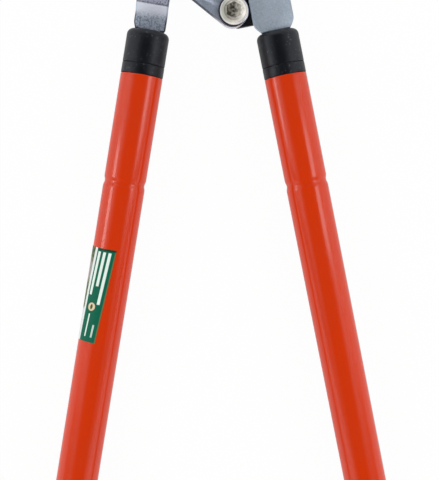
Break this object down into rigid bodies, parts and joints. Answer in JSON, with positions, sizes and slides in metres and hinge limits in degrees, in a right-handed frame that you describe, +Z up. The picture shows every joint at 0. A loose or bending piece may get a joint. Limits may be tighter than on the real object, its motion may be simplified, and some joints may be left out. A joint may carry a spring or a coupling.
{
  "type": "telescopic bypass lopper",
  "caption": "Bypass lopper: hook and curved blade driven through toothed sectors, with orange telescopic handles that twist to lock.",
  "frame": {"origin": "on the surface that the lopper lies on, under the middle of its box", "axes": "+Y from the grips towards the tip of the jaws, +X to the right as seen from above, +Z up, out of the hook's face"},
  "size_m": [0.2944, 0.6595, 0.034],
  "materials": {
    "ground_steel": "coarsely ground, satin",
    "blade_steel": "fine ground",
    "lever_black": "black oxide, satin",
    "cast_grey": "cast, fine matt speckle",
    "bolt_nickel": "bright nickel plate",
    "cap_black": "moulded, satin",
    "tube_orange": "orange gloss powder coat",
    "tube_bright": "bright drawn tube",
    "grip_rubber": "soft ribbed grip",
    "lock_nylon": "natural nylon"
  },
  "bodies": {
    "hook_side": {"hook_with_left_arm": "ground_steel", "pivot_bolt": "bolt_nickel", "pivot_washer": "bolt_nickel", "pivot_nut": "bolt_nickel", "lever_bolt": "bolt_nickel", "lever_washer": "bolt_nickel", "lever_nut": "bolt_nickel", "left_cap": "cap_black", "left_inner_tube": "tube_bright", "left_tang_pin": "bolt_nickel", "left_lock_core": "lock_nylon"},
    "blade": {"blade": "blade_steel"},
    "lever": {"lever_plate": "lever_black", "lever_arm": "cast_grey", "lever_screw_1": "bolt_nickel", "lever_screw_2": "bolt_nickel", "lever_screw_3": "bolt_nickel", "right_cap": "cap_black", "right_inner_tube": "tube_bright", "right_tang_pin": "bolt_nickel", "right_lock_core": "lock_nylon"},
    "left_lock": {"left_lock_sleeve": "lock_nylon"},
    "left_handle": {"left_guide_bushing": "cap_black", "left_outer_tube": "tube_orange", "left_grip": "grip_rubber", "left_end_cap": "cap_black"},
    "right_lock": {"right_lock_sleeve": "lock_nylon"},
    "right_handle": {"right_guide_bushing": "cap_black", "right_outer_tube": "tube_orange", "right_grip": "grip_rubber", "right_end_cap": "cap_black"}
  },
  "joints": [
    {"name": "lever_hinge", "type": "hinge", "parent": "hook_side", "child": "lever", "pos_m": [0.01433, 0.16862, 0.017], "axis": [0, 0, 1], "range_deg": [-20.96, 40]},
    {"name": "blade_hinge", "type": "hinge", "parent": "hook_side", "child": "blade", "pos_m": [0, 0.231, 0.017], "axis": [0, 0, 1], "range_deg": [-24, 12.58]},
    {"name": "left_twist", "type": "hinge", "parent": "hook_side", "child": "left_lock", "pos_m": [-0.04202, 0.15748, 0.017], "axis": [-0.1819, -0.9833, 0], "range_deg": [0, 90]},
    {"name": "left_telescope", "type": "slide", "parent": "left_lock", "child": "left_handle", "axis": [-0.1819, -0.9833, 0], "range_m": [0, 0.28]},
    {"name": "right_twist", "type": "hinge", "parent": "lever", "child": "right_lock", "pos_m": [0.04236, 0.15561, 0.017], "axis": [0.1819, -0.9833, 0], "range_deg": [-90, 0]},
    {"name": "right_telescope", "type": "slide", "parent": "right_lock", "child": "right_handle", "axis": [0.1819, -0.9833, 0], "range_m": [0, 0.28]}
  ],
  "couplings": [
    {"joint": "blade_hinge", "follows": "lever_hinge", "ratio": -0.6}
  ]
}
